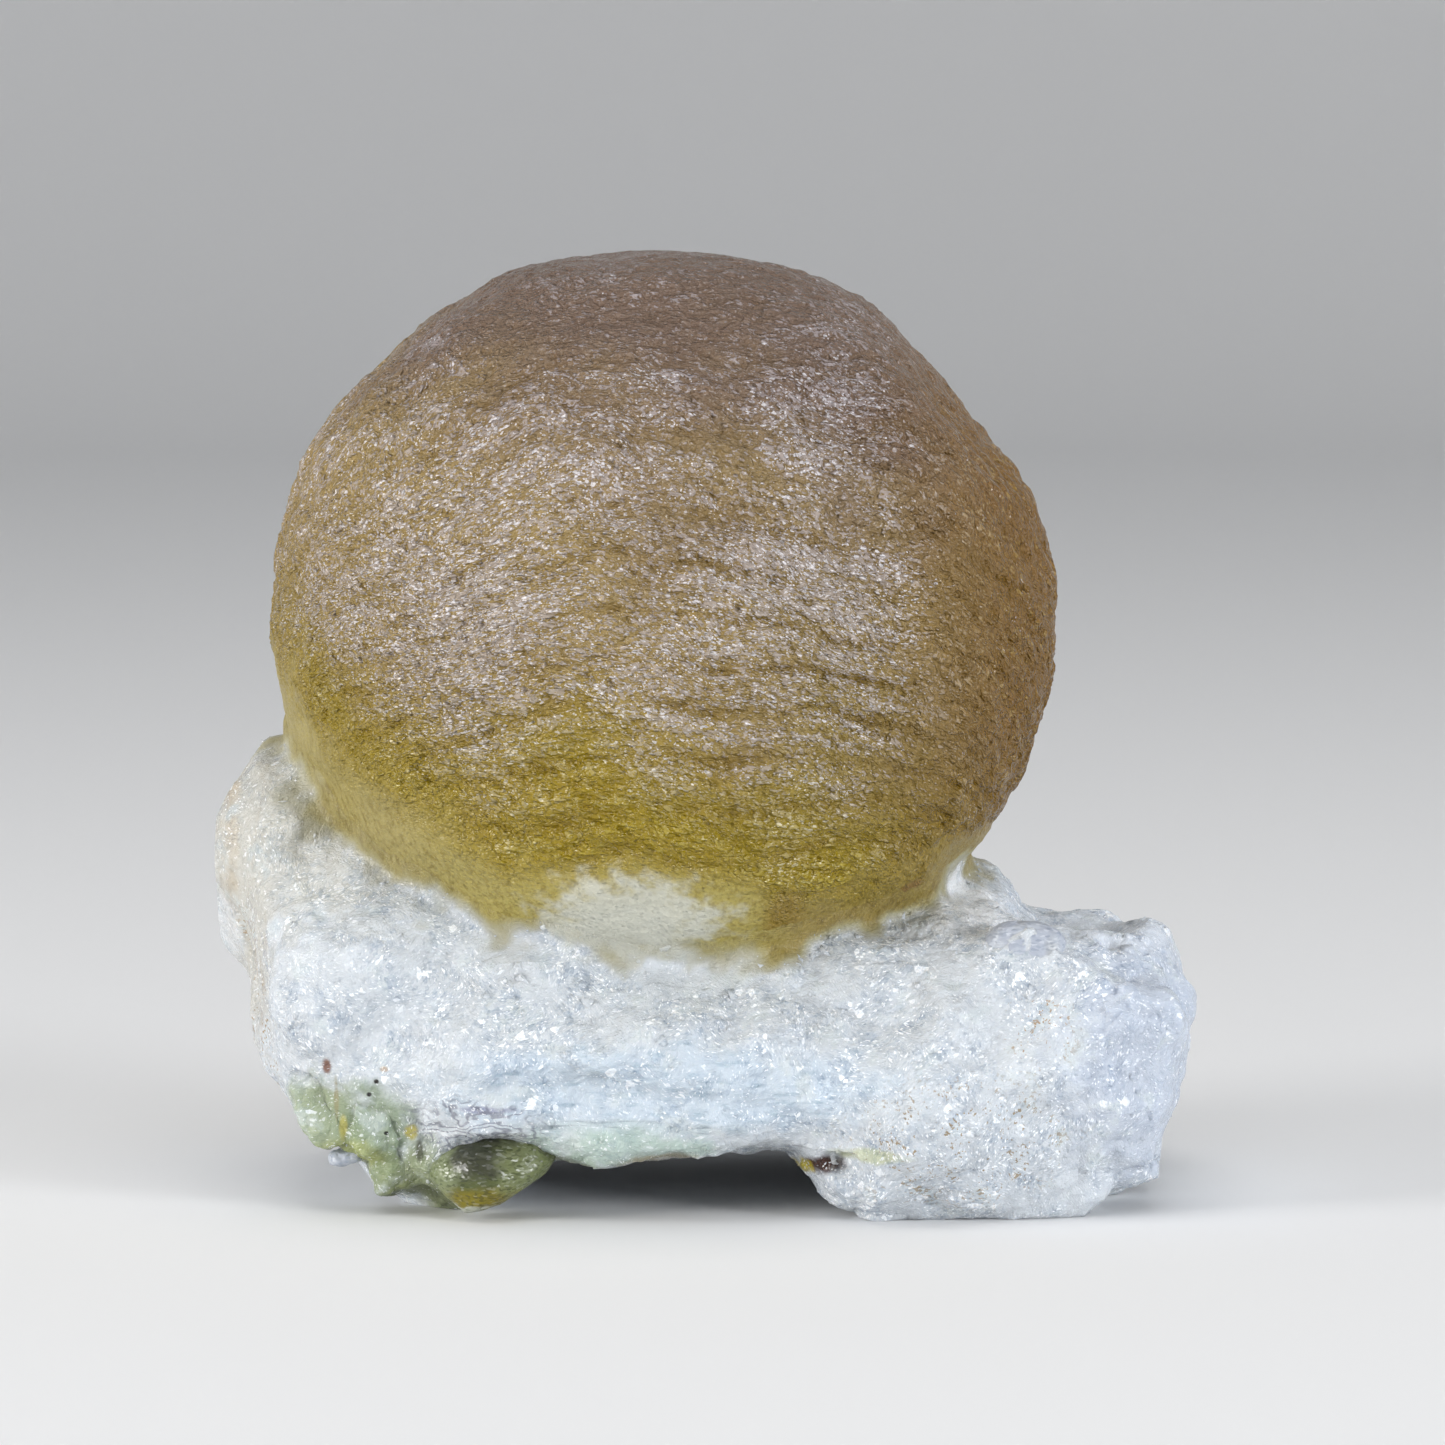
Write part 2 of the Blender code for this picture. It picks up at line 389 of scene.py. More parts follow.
globe = {
    "centre": (-1.9, 0.0, 23.1),  # as the solid has it
    "radius": 15.6,
    "cuts": 127,  # along each side of the cube that it is rounded from
    "settle": 10,  # smoothing passes that take the solid's flats away
    "slope": 0.86,  # the growth bands climb, lean to the right and wrap round the sides
    "tilt": -0.06,
    "wrap": 0.55,
    "lobes": [  # swells that the bands bend round: way, rise, width
        ((-0.60, -0.78, 0.18), 0.20, 0.34),
        ((0.52, -0.84, 0.16), 0.16, 0.30),
        ((-0.05, 0.99, 0.05), 0.24, 0.38),
        ((0.93, 0.33, -0.10), 0.18, 0.34),
        ((-0.86, 0.48, 0.10), 0.20, 0.34),
    ],
    "wander": [(6.0, 1.0), (2.1, 0.38)],
    "ripples": [(1.90, 0.15), (0.80, 0.05)],  # spacing and height
    "crumple": [(1.70, 0.62, 0.52), (1.00, 0.42, 0.28)],  # length along the bands, width, height
    "creaseWidth": 0.10,  # share of the noise's reach that is crease
    "facet": 0.010,
    "streaks": (2.4, 0.60),  # frosty streaks: length along the bands and width
    "paintedSheens": [((-0.52, -0.84, 0.08), 0.27), ((0.42, -0.90, 0.06), 0.15)],  # painted sheen where the side lamps reflect: way and amount
    "sheenReach": 0.3,
    "patchSize": 3.6,
    "deepWay": (0.36, -0.93, -0.08),  # where the grooves between the ripples are deepest
    "deepWidth": 0.42,
    "contactReach": 8.0,
    "seed": 5,
}


def growthLevel(rel):
    way = unit(rel)
    level = way[:, 2] * globe["slope"] + way[:, 0] * globe["tilt"] + globe["wrap"] * np.abs(way[:, 0]) ** 5
    for lobe, rise, width in globe["lobes"]:
        level += rise * bell(way, unit(lobe), math.sqrt(2) * width)
    level *= globe["radius"]
    for size, reach in globe["wander"]:
        level += noiseField(rel, size, (3.1, 0.0, 9.2)) * reach
    return level


def ridgeOf(level, spacing):
    return np.abs(np.sin(np.pi * level / spacing)) ** 0.7  # round ridges, narrow grooves


def drawnNoise(rel, level, length, width, start):
    # noise drawn out along the bands
    drift = level[:, None] * unit((0.6, 0.5, 0.62)) / width
    return noiseField(rel / length + drift, 1.0, start)


def makeGlobe():
    centre = np.array(globe["centre"])
    bpy.ops.mesh.primitive_cube_add(size=2 * globe["radius"] * mm, location=centre * mm)
    piece = bpy.context.object
    piece.name = piece.data.name = "fluoriteGlobe"
    editAll(piece)
    bpy.ops.mesh.subdivide(number_cuts=globe["cuts"])
    endEdit()
    bpy.ops.object.transform_apply(location=True, rotation=True, scale=True)
    cube = (readPoints(piece.data) / mm - centre) / globe["radius"]
    squares = cube ** 2
    others = np.stack([squares[:, (1, 2)], squares[:, (2, 0)], squares[:, (0, 1)]], axis=1)
    rounded = cube * np.sqrt(1 - others.sum(2) / 2 + others.prod(2) / 3)
    writePoints(piece.data, (centre + rounded * globe["radius"]) * mm)
    applyModifier(piece, "SHRINKWRAP", target=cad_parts["fluorite_ball"], wrap_method="PROJECT",
                  use_negative_direction=True, use_positive_direction=True)
    applyModifier(piece, "SMOOTH", factor=0.5, iterations=globe["settle"])
    return piece


def frostAndSheenShare(rel, level, groove, waxy):
    # how much of the skin is painted silvery, as frost and as painted sheen: most round the middle where the
    # side lamps reflect, least at the crown, low down and at the right
    height, side = rel[:, 2], rel[:, 0]
    share = 0.60 - 0.30 * smoothStep(6.0, 13.5, height) - 0.16 * smoothStep(-2.5, -10.0, height + 0.30 * side)
    share -= 0.30 * smoothStep(7.0, 13.0, side) + 0.06 * smoothStep(-10.0, -14.5, side)
    length, width = globe["streaks"]
    share += 0.30 * drawnNoise(rel, level, length, width, (5.0, 2.0, 1.0))
    share += 0.22 * noiseField(rel, 4.5, (2.0, 7.0, 5.0))
    for sheenWay, amount in globe["paintedSheens"]:
        share += amount * bell(unit(rel), unit(sheenWay), globe["sheenReach"])
    return np.clip(share - 0.45 * groove, 0.03, 0.95) * (1.0 - waxy)


def rippleGlobe(piece, quartzTree):
    centre = np.array(globe["centre"])
    points = readPoints(piece.data) / mm
    rel = points - centre
    way = unit(rel)
    fromQuartz = np.abs(signedDistance(quartzTree, points, globe["contactReach"])[0])
    upGlobe = seamField(points, 0.0, fromQuartz)
    right = smoothStep(0.0, 6.0, rel[:, 0])
    waxy = 1.0 - smoothStep(2.2 - 0.7 * right, 6.2 - 2.4 * right, upGlobe)
    calmTop = smoothStep(8.5, 14.5, rel[:, 2])
    level = growthLevel(rel)
    patch = np.clip(0.62 + 1.1 * noiseField(rel, globe["patchSize"], (8.0, 1.0, 2.0)), 0.12, 1.2)
    deep = bell(way, unit(globe["deepWay"]), math.sqrt(2) * globe["deepWidth"])
    strength = patch * (1.0 - 0.75 * calmTop) * (1.0 - 0.85 * waxy)
    (wide, wideHeight), (fine, fineHeight) = globe["ripples"]
    ridge = ridgeOf(level, wide)
    small = ridgeOf(level + 0.35 * noiseField(rel, 1.0, (1.0, 5.0, 2.0)), fine)
    height = (ridge - 0.62) * wideHeight * strength * (0.8 + 0.7 * deep)
    height += (small - 0.62) * fineHeight * (0.3 + 0.7 * strength)
    creased = np.zeros(len(rel))
    for start, (length, width, amount) in enumerate(globe["crumple"]):
        fold = np.abs(drawnNoise(rel, level, length, width, (start, 4.0, 7.0)))
        height += (np.minimum(fold, 0.30) - 0.18) * amount * (1.0 - 0.85 * waxy) * (1.0 - 0.55 * calmTop)
        creased += 0.30 * (1.0 - smoothStep(0.0, globe["creaseWidth"], fold))
    rng = np.random.default_rng(globe["seed"])
    height += rng.normal(0.0, globe["facet"], len(rel)) * (1.0 - 0.7 * waxy)
    writePoints(piece.data, (points + way * height[:, None]) * mm)
    # the groove mask: grooves and creases, painted darker in the finish as the stone's deeper amber and as
    # painted shade
    groove = (1.0 - ridge) ** 2 * patch * (0.25 + 0.75 * deep) * (1.0 - calmTop)
    groove += creased * np.clip(patch, 0.3, 1.0) * (1.0 - 0.7 * calmTop)
    groove = np.clip(groove * (1.0 - waxy), 0.0, 1.0)
    writeField(piece.data, "level", level)
    writeField(piece.data, "frostAndSheen", frostAndSheenShare(rel, level, groove, waxy))
    writeField(piece.data, "groove", groove)
    writeField(piece.data, "upGlobe", upGlobe)
    writeField(piece.data, "waxy", waxy)


# The quartz

crust = {
    "voxel": 0.23,
    "settle": 4,
    "swell": (0.08, 0.30),  # puts back what the smoothing takes off, all over and on the left wing
    "relief": [(4.0, 0.20), (1.6, 0.10), (0.6, 0.04)],
    "humps": [(1.6, 0.24), (0.85, 0.15)],  # size and height of the flat-sided humps
    "blockHumps": (2.6, 0.70),  # wider flats on the right block
    "grain": 0.010,
    "contactReach": 5.0,
    "flatFeet": 0.06,  # what lies lower stays flat
    "creases": [  # from, to, half width, depth
        ((-18.6, -0.6, 16.6), (-18.7, -2.2, 12.4), 0.45, 0.40),
        ((-18.7, -2.2, 12.4), (-18.2, -3.6, 7.6), 0.50, 0.45),
        ((-11.6, -10.0, 4.1), (-11.1, -9.4, 2.3), 0.30, 0.35),
        ((11.7, -8.9, 10.3), (12.9, -8.9, 10.3), 1.20, 0.40),
        ((-9.8, -10.6, 2.1), (-8.2, -10.6, 2.2), 1.30, 0.90),
        ((15.7, -6.5, 10.4), (15.5, -9.6, 1.4), 0.50, 0.35),
        ((16.8, -3.0, 10.9), (17.2, 3.5, 10.9), 0.35, 0.55),
        ((3.9, -10.9, 2.1), (5.2, -11.3, 2.25), 0.40, 0.85),
    ],
    "swirl": ((-8.8, -11.0, 3.9), (3.2, 1.6, 1.1), 0.42, 0.07),  # bands: place, reach, spacing, height
    "calm": [  # little sugar here: place, reach, share taken away
        ((-12.0, -9.5, 2.6), (4.6, 4.0, 3.2), 1.2),
        ((-3.0, -12.0, 5.0), (7.5, 4.0, 2.6), 0.4),
    ],
    "lifts": [  # place, reach, way: the right block's corner and edge are drawn up
        ((18.0, -2.5, 10.5), (1.4, 2.2, 1.4), (0.25, 0.0, 0.90)),
        ((15.4, -5.4, 10.0), (2.6, 2.5, 1.5), (0.0, -0.10, 0.90)),
    ],
    "seed": 11,
}


def distanceToLine(points, start, end):
    start, end = np.array(start), np.array(end)
    along = end - start
    t = np.clip(((points - start) @ along) / (along @ along), 0.0, 1.0)
    return np.linalg.norm(points - start - t[:, None] * along, axis=1)


def lowerGlobe(globePiece):
    # the foot of the globe, a little too big, for the quartz to climb
    foot = addPiece("foot", globePiece.data.copy())
    centre = np.array(globe["centre"])
    grow = 1.0 + seam["film"] / globe["radius"]
    writePoints(foot.data, ((readPoints(foot.data) / mm - centre) * grow + centre) * mm)
    editAll(foot)
    bpy.ops.mesh.bisect(plane_co=(0, 0, seam["top"] * mm), plane_no=(0, 0, 1),
                        use_fill=True, clear_outer=True)
    endEdit()
    return foot


def makeCrust(foot, roundTree, quartzTree):
    solid = copyOfNode("quartz_matrix", "quartzCrust")
    piece = growTogether([solid, foot], crust["voxel"], crust["settle"])
    points = readPoints(piece.data) / mm
    fromQuartz = np.maximum(signedDistance(quartzTree, points, crust["contactReach"])[0], 0.0)
    outside, outward = signedDistance(roundTree, points, crust["contactReach"])
    swell, wingSwell = crust["swell"]
    swell += wingSwell * smoothStep(-15.5, -17.5, points[:, 0])
    points += readPoints(piece.data, "normal") * (swell * smoothStep(0.3, 1.5, outside))[:, None]
    reached = smoothStep(0.0, seam["feather"], fromQuartz)
    points -= outward * (reached * (seam["film"] + seam["sink"]))[:, None]
    writePoints(piece.data, points * mm)
    corner = piece.vertex_groups.new(name="corner")
    nearness = np.exp(-((fromQuartz + np.maximum(outside, 0.0)) / seam["rounding"]) ** 2)
    for i in np.nonzero(nearness > 0.02)[0].tolist():
        corner.add([i], float(nearness[i]), "REPLACE")
    applyModifier(piece, "SMOOTH", factor=0.5, iterations=seam["roundingPasses"], vertex_group="corner")
    piece.vertex_groups.clear()
    return piece


def roughenCrust(piece, roundTree, quartzTree):
    points = readPoints(piece.data) / mm
    normals = readPoints(piece.data, "normal")
    outside = signedDistance(roundTree, points, crust["contactReach"])[0]
    fromQuartz = np.maximum(signedDistance(quartzTree, points, crust["contactReach"])[0], 0.0)
    upGlobe = seamField(points, np.maximum(outside, 0.0), fromQuartz)
    offGlobe = smoothStep(0.3, 1.6, outside)
    block = smoothStep(12.8, 15.2, points[:, 0])
    wing = smoothStep(-16.2, -17.6, points[:, 0])
    height = np.zeros(len(points))
    bumpy = (1.0 - 0.5 * block) * (1.0 - 0.6 * wing)
    for size, amount in crust["humps"]:
        height += crystalField(points, size, (0.3, size, 7.0)) * amount * bumpy
    size, amount = crust["blockHumps"]
    height += (crystalField(points, size, (5.0, 2.0, 0.6)) * amount - 0.14) * block
    for size, amount in crust["relief"]:
        height += noiseField(points, size, (size, 4.0, 1.0)) * amount
    height *= offGlobe
    middle, reach, spacing, amount = crust["swirl"]
    bands = points[:, 2] + 1.1 * noiseField(points, (2.4, 2.0, 1.2), (2.0, 2.0, 6.0))
    height += ridgeOf(bands, spacing) * amount * bell(points, middle, reach)
    for start, end, width, depth in crust["creases"]:
        away = distanceToLine(points, start, end) + 0.18 * noiseField(points, 0.6, (1.0, 1.0, 1.0))
        height -= depth * np.exp(-(away / width) ** 2)
    rng = np.random.default_rng(crust["seed"])
    height += rng.normal(0.0, crust["grain"], len(points)) * (0.2 + 0.8 * offGlobe)
    height[points[:, 2] < crust["flatFeet"]] = 0.0
    lifted = normals * height[:, None]
    for middle, reach, way in crust["lifts"]:
        lifted += bell(points, middle, reach)[:, None] * np.array(way)
    points += lifted
    points[:, 2] = np.maximum(points[:, 2], 0.0)
    writePoints(piece.data, points * mm)
    writeField(piece.data, "upGlobe", upGlobe)
    sugar = np.clip(0.6 + 1.3 * noiseField(points, 2.6, (6.0, 0.0, 3.0)), 0.05, 1.3)
    sugar *= (1.0 - 0.7 * block) * (1.0 - 0.6 * wing)
    for place, reach, share in crust["calm"]:
        sugar *= 1.0 - np.clip(share * bell(points, place, reach), 0.0, 1.0)
    sugar *= smoothStep(0.2, -0.8, upGlobe)
    writeField(piece.data, "sugar", sugar)


# The druse: small closed crystals sunk into the crust

druse = {
    "batches": [  # name, grains, smallest and largest half width
        ("druseFine", 8000, 0.05, 0.11),
        ("druseCoarse", 1800, 0.11, 0.30),
    ],
    "sink": 0.75,  # share of the half width that lies below the crust
    "stretch": 0.35,
    "lowest": 0.35,  # no grain is sown lower
    "seed": 23,
}


def crystalForms():
    ring = [(math.cos(a), math.sin(a), 0.0) for a in np.arange(6) * math.pi / 3]
    pointed = np.array(ring + [(0.0, 0.0, 1.25), (0.0, 0.0, -1.25)])
    pointedFaces = [(i, (i + 1) % 6, 6) for i in range(6)] + [((i + 1) % 6, i, 7) for i in range(6)]
    blocky = np.array([(x, y, z) for z in (-1, 1) for y in (-1, 1) for x in (-1, 1)]) * 0.72
    blocky[:, 0] += 0.22 * blocky[:, 2]
    blockyFaces = [(0, 2, 3), (0, 3, 1), (4, 5, 7), (4, 7, 6), (0, 1, 5), (0, 5, 4),
                   (2, 6, 7), (2, 7, 3), (0, 4, 6), (0, 6, 2), (1, 3, 7), (1, 7, 5)]
    return (pointed, np.array(pointedFaces)), (blocky, np.array(blockyFaces))


def randomTurns(rng, count):
    w, x, y, z = unit(rng.normal(size=(count, 4))).T
    return np.stack([
        np.stack([1 - 2 * (y * y + z * z), 2 * (x * y - z * w), 2 * (x * z + y * w)], axis=1),
        np.stack([2 * (x * y + z * w), 1 - 2 * (x * x + z * z), 2 * (y * z - x * w)], axis=1),
        np.stack([2 * (x * z - y * w), 2 * (y * z + x * w), 1 - 2 * (x * x + y * y)], axis=1)], axis=1)


def meshFromArrays(name, points, faces):
    mesh = bpy.data.meshes.new(name)
    mesh.from_pydata(points.tolist(), [], faces.tolist(), shade_flat=False)
    return addPiece(name, mesh)


def spotsOnCrust(crustPiece, rng, count):
    mesh = crustPiece.data
    mesh.calc_loop_triangles()
    corners = np.empty(len(mesh.loop_triangles) * 3, dtype=np.int32)
    mesh.loop_triangles.foreach_get("vertices", corners)
    corners = corners.reshape(-1, 3)
    points = readPoints(mesh) / mm
    a, b, c = points[corners[:, 0]], points[corners[:, 1]], points[corners[:, 2]]
    cross = np.cross(b - a, c - a)
    area = np.linalg.norm(cross, axis=1)
    sugar = np.empty(len(points), np.float32)
    mesh.attributes["sugar"].data.foreach_get("value", sugar)
    bare = points[corners][:, :, 2].max(1) < druse["lowest"]
    area *= sugar[corners].mean(1) * ~bare
    chosen = rng.choice(len(corners), count, p=area / area.sum())
    u, v = rng.random((2, count, 1))
    flip = u + v > 1.0
    u, v = np.where(flip, 1.0 - u, u), np.where(flip, 1.0 - v, v)
    spots = a[chosen] + (b - a)[chosen] * u + (c - a)[chosen] * v
    return spots, unit(cross[chosen])


def makeDruse(crustPiece):
    rng = np.random.default_rng(druse["seed"])
    forms = crystalForms()
    pieces = []
    for name, count, smallest, largest in druse["batches"]:
        spots, outward = spotsOnCrust(crustPiece, rng, count)
        halfWidth = smallest + (largest - smallest) * rng.random(count) ** 2.2
        stretch = 1.0 + druse["stretch"] * rng.uniform(-1.0, 1.0, (count, 1, 3))
        turns = randomTurns(rng, count)
        which = rng.random(count) < 0.5
        shape = np.where(which[:, None, None], forms[0][0], forms[1][0]) * stretch
        shape = np.einsum("nij,nkj->nki", turns, shape) * halfWidth[:, None, None]
        shape += (spots - outward * (halfWidth * druse["sink"])[:, None])[:, None, :]
        faces = np.where(which[:, None, None], forms[0][1], forms[1][1])
        faces += (np.arange(count) * 8)[:, None, None]
        points = shape.reshape(-1, 3)
        points[:, 2] = np.maximum(points[:, 2], 0.0)
        piece = meshFromArrays(name, points * mm, faces.reshape(-1, 3))
        writeField(piece.data, "upGlobe", np.full(len(points), seam["farDown"]))
        pieces.append(piece)
    return pieces


# Finishes

fluoriteLook = {
    "body": (142, 120, 72),
    # low: the stone's olive-yellow, with painted glow; top: the crown's mauve-brown, painted darker as shade;
    # right: orange-brown, painted darker as shade and with painted glow
    "low": (140, 119, 8),
    "top": (109, 88, 73),
    "right": (114, 80, 22),
    # frost tones, which are also painted sheen
    "frostAndSheen": (173, 166, 170),
    "frostAndSheenLow": (178, 161, 66),
    "frostAndSheenRight": (160, 137, 74),
    "frostAndSheenDepth": 0.48,
    # painted glints: pale tones laid on single cells
    "paintedGlint": (226, 222, 226),
    "paintedGlintLow": (210, 195, 116),
    "paintedGlintShares": [0.035, 0.045],  # of the wide and of the fine cells
    "folds": [1.3, 2.8],  # fine creases: how many a millimetre
    "foldDepth": 0.00014,
    # grooves and creases painted darker: the deeper amber of the stone, and painted shade
    "grooveTone": (104, 78, 14),
    "grains": [(7.0, 1.3), (15.0, 0.5)],  # cells a millimetre, how much closer across the bands
    "lean": 2.6,
    "rough": (0.22, 0.44),  # on the bare skin and on the waxy foot
    "refraction": 1.434,
    "shine": 0.65,
    "lowFrom": (23.0, 14.0),  # heights between which one tone passes to the next
    "topFrom": (24.0, 35.0),
    "silverFrom": (20.5, 12.5),
    "paintedGlintFrom": (20.0, 12.0),
    "tonePatches": [  # darker dips beside the quartz
        ((2.9, -9.6, 11.4), (0.9, 3.0, 1.7), (128, 104, 36), 0.8),
        ((7.9, -6.2, 12.5), (0.6, 0.8, 0.6), (120, 88, 48), 0.7),
    ],
}


def fluoriteBody(tree, across, wandering):
    look = fluoriteLook
    # tones by height and side: painted glow low down, painted shade at the crown, painted shade and glow at
    # the right
    base = mixTones(rampNode(wandering, *look["lowFrom"]), look["body"], look["low"])
    base = mixTones(rampNode(wandering, *look["topFrom"]), base, look["top"])
    base = mixTones(rampNode(across, 5.0, 13.0, 0.9), base, look["right"])
    # grooves and creases painted darker: the stone's deeper amber, and painted shade
    groove = mathNode("MULTIPLY", fieldNode(tree, "groove"), 0.7, clamp=True)
    return mixTones(groove, base, look["grooveTone"])


def fluoriteGrains(tree, place):
    # folds, and grains of two sizes that are drawn out along the bands; the grains carry the painted sheen
    # and the painted glints
    level = fieldNode(tree, "level")
    levels = addNode("ShaderNodeCombineXYZ", {0: level, 1: level, 2: level}).outputs[0]
    drift = vectorNode("MULTIPLY", levels, (0.6, 0.5, 0.62))
    spots = [vectorNode("ADD", place, vectorNode("SCALE", drift, drawn))
             for drawn in (0.9, *[drawn for count, drawn in fluoriteLook["grains"]])]
    folds = foldNode(spots[0], fluoriteLook["folds"])
    cells = [cellNode(spot, count) for spot, (count, drawn) in zip(spots[1:], fluoriteLook["grains"])]
    return folds, cells


def addFrostAndSheen(base, across, wandering, share, folds, cells):
    # painted frost and sheen: a silvery bloom on the flats, laid into the colour
    look = fluoriteLook
    wide, fine = [channelOf(cell) for cell in cells]
    tone = plus(times(wide, 0.6), times(fine, 0.4))
    tone = plus(plus(tone, share), times(plus(folds, -0.7), 0.8))
    frostAndSheen = rampNode(tone, 0.94, 1.14, look["frostAndSheenDepth"])
    silver = mixTones(rampNode(wandering, *look["silverFrom"]), look["frostAndSheen"], look["frostAndSheenLow"])
    silver = mixTones(rampNode(across, 6.0, 12.5), silver, look["frostAndSheenRight"])
    return mixTones(frostAndSheen, base, silver)


def addPaintedGlints(base, wandering, share, bare, cells):
    # painted glints: the brightest cells of both sizes are painted pale
    look = fluoriteLook
    more = times(plus(share, -0.5), 0.25)
    paintedGlint = 0.0
    for cell, paintedGlintShare in zip(cells, look["paintedGlintShares"]):
        key = plus(channelOf(cell, 1), more)
        bright = rampNode(key, 1.0 - paintedGlintShare, 1.02 - 0.7 * paintedGlintShare)
        paintedGlint = mathNode("MAXIMUM", bright, paintedGlint)
    tone = mixTones(rampNode(wandering, *look["paintedGlintFrom"]), look["paintedGlint"], look["paintedGlintLow"])
    return mixTones(times(times(paintedGlint, bare), 0.70), base, tone)


def makeFluorite():
    look = fluoriteLook
    material, tree, shader = startMaterial("fluorite")
    place = placeInMm(tree)
    across, height = axisOf(place, "X"), axisOf(place, "Z")
    share, upGlobe, waxy = [fieldNode(tree, name) for name in ("frostAndSheen", "upGlobe", "waxy")]
    bare = mathNode("SUBTRACT", 1.0, waxy)
    cloud = plus(noiseNode(place, 0.16, 3.0), -0.5)
    wandering = plus(plus(height, times(cloud, 12.0)), times(across, 0.22))
    folds, cells = fluoriteGrains(tree, place)
    folds = times(folds, bare)
    base = fluoriteBody(tree, across, wandering)
    base = addFrostAndSheen(base, across, wandering, share, folds, cells)
    base = addPaintedGlints(base, wandering, share, bare, cells)
    base = mixTones(times(waxy, 0.9), base, rimTone(place))
    for tonePatch in look["tonePatches"]:
        base = addTonePatch(place, cloud, base, tonePatch)
    base = mixTones(rampNode(upGlobe, 0.7, 0.1), base, seam["pale"])
    base = mixTones(rampNode(upGlobe, 0.1, -0.4), base, seam["milk"])
    setInputs(shader, {
        "Base Color": addVeil(place, base),
        "Normal": leanedNormal(mixTones(0.4, *cells), look["lean"], most=True,
                               normal=creasedNormal(folds, look["foldDepth"])),
        "Roughness": spreadNode(waxy, *look["rough"]),
        "IOR": look["refraction"],
        "Specular IOR Level": look["shine"],
    })
    return material


